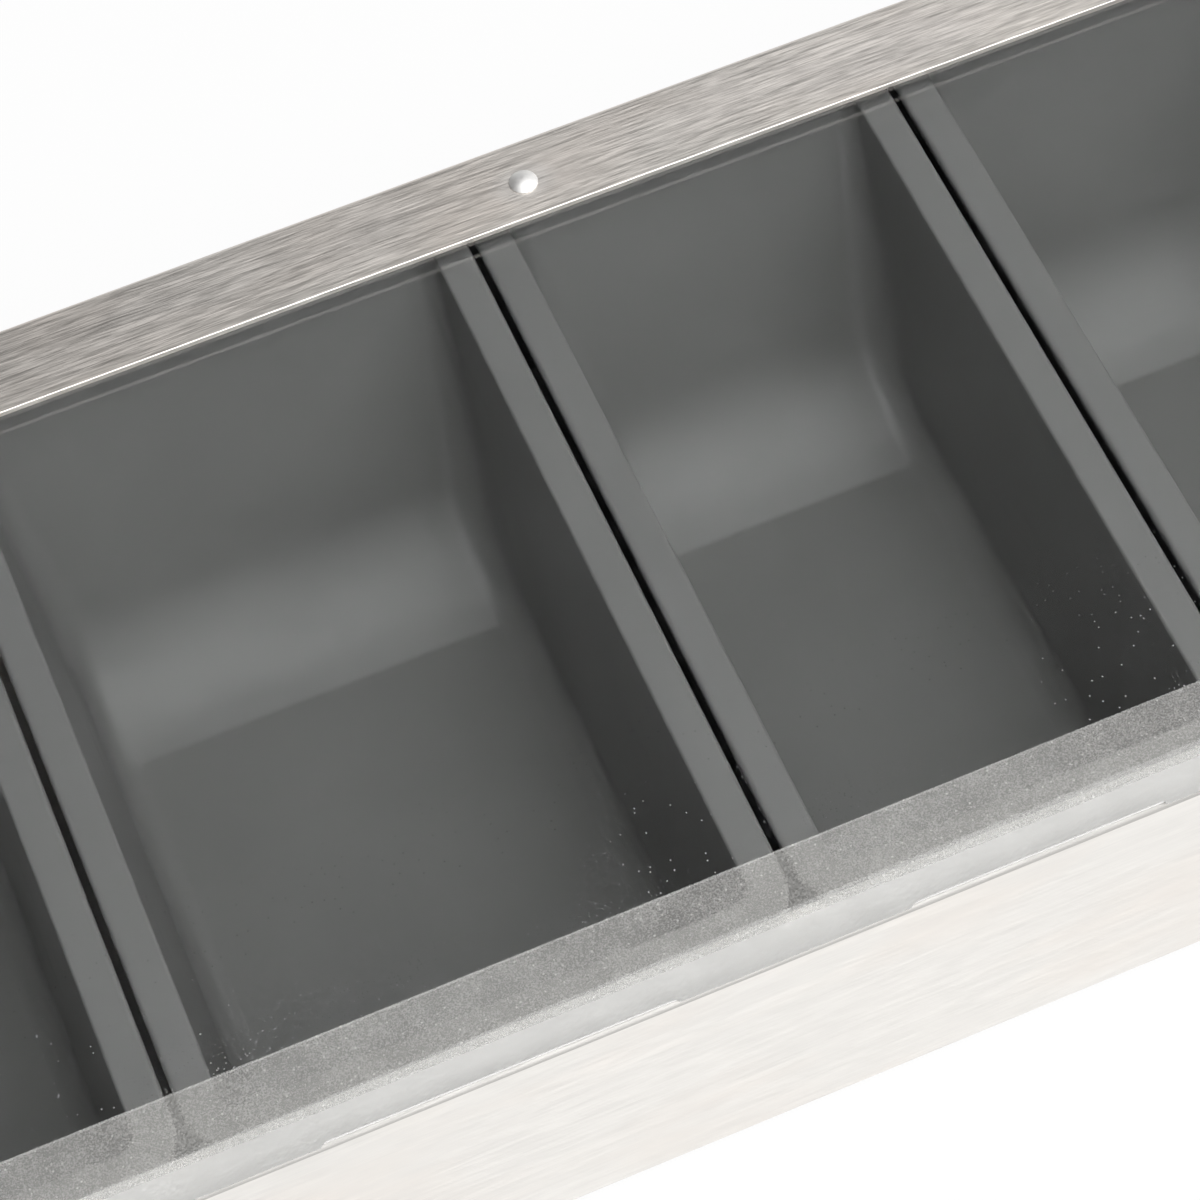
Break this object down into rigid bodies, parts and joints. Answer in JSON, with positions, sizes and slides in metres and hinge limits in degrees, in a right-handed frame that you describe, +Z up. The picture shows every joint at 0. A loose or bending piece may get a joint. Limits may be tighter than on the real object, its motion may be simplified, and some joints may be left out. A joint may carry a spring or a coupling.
{
  "type": "bar garnish tray",
  "caption": "Low folded-steel bar tray with lift-out plastic inserts under a hinged clear lid with a frosted front edge and a riveted steel rail.",
  "frame": {"origin": "centre of the whole tray's footprint, on the surface that it stands on", "axes": "+X to the tray's right along its length, +Y to the hinge side at the rear, +Z up"},
  "size_m": [0.427, 0.1533, 0.0626],
  "materials": {
    "housing_steel": "fine satin, nearly white in soft light",
    "rail_steel": "brushed along the tray's length",
    "hinge_steel": "satin",
    "washer_steel": "satin",
    "rivet_aluminium": "bright satin",
    "clear_lid": "clear and glossy, frosted along its turned-down edge",
    "insert_plastic": "satin grey",
    "pad_rubber": "matt"
  },
  "bodies": {
    "housing": {"housing_wrap": "housing_steel", "left_end_panel": "housing_steel", "right_end_panel": "housing_steel", "front_left_pad": "pad_rubber", "front_right_pad": "pad_rubber", "rear_left_pad": "pad_rubber", "rear_right_pad": "pad_rubber", "left_hinge_fixed_leaf": "hinge_steel", "right_hinge_fixed_leaf": "hinge_steel", "left_hinge_pin": "hinge_steel", "right_hinge_pin": "hinge_steel", "housing_hinge_rivets": "rivet_aluminium"},
    "lid": {"lid_panel": "clear_lid", "lid_rail": "rail_steel", "left_lid_rivet": "rivet_aluminium", "centre_lid_rivet": "rivet_aluminium", "right_lid_rivet": "rivet_aluminium", "left_lid_washer": "washer_steel", "centre_lid_washer": "washer_steel", "right_lid_washer": "washer_steel", "left_hinge_moving_leaf": "hinge_steel", "right_hinge_moving_leaf": "hinge_steel", "lid_hinge_rivets": "rivet_aluminium"},
    "large_insert_1": {"large_insert_1": "insert_plastic"},
    "large_insert_2": {"large_insert_2": "insert_plastic"},
    "small_insert_1": {"small_insert_1": "insert_plastic"},
    "small_insert_2": {"small_insert_2": "insert_plastic"},
    "small_insert_3": {"small_insert_3": "insert_plastic"}
  },
  "joints": [
    {"name": "lid_hinge", "type": "hinge", "parent": "housing", "child": "lid", "pos_m": [0, 0.07405, 0.0485], "axis": [-1, 0, 0], "range_deg": [0, 105]},
    {"name": "large_insert_1_lift", "type": "slide", "parent": "housing", "child": "large_insert_1", "axis": [0, 0, 1], "range_m": [0, 0.0167]},
    {"name": "large_insert_2_lift", "type": "slide", "parent": "housing", "child": "large_insert_2", "axis": [0, 0, 1], "range_m": [0, 0.0167]},
    {"name": "small_insert_1_lift", "type": "slide", "parent": "housing", "child": "small_insert_1", "axis": [0, 0, 1], "range_m": [0, 0.0167]},
    {"name": "small_insert_2_lift", "type": "slide", "parent": "housing", "child": "small_insert_2", "axis": [0, 0, 1], "range_m": [0, 0.0167]},
    {"name": "small_insert_3_lift", "type": "slide", "parent": "housing", "child": "small_insert_3", "axis": [0, 0, 1], "range_m": [0, 0.0167]}
  ],
  "couplings": [
    {"joint": "large_insert_1_lift", "follows": "lid_hinge", "m_per_rad": 0.009},
    {"joint": "large_insert_2_lift", "follows": "lid_hinge", "m_per_rad": 0.009},
    {"joint": "small_insert_1_lift", "follows": "lid_hinge", "m_per_rad": 0.009},
    {"joint": "small_insert_2_lift", "follows": "lid_hinge", "m_per_rad": 0.009},
    {"joint": "small_insert_3_lift", "follows": "lid_hinge", "m_per_rad": 0.009}
  ]
}
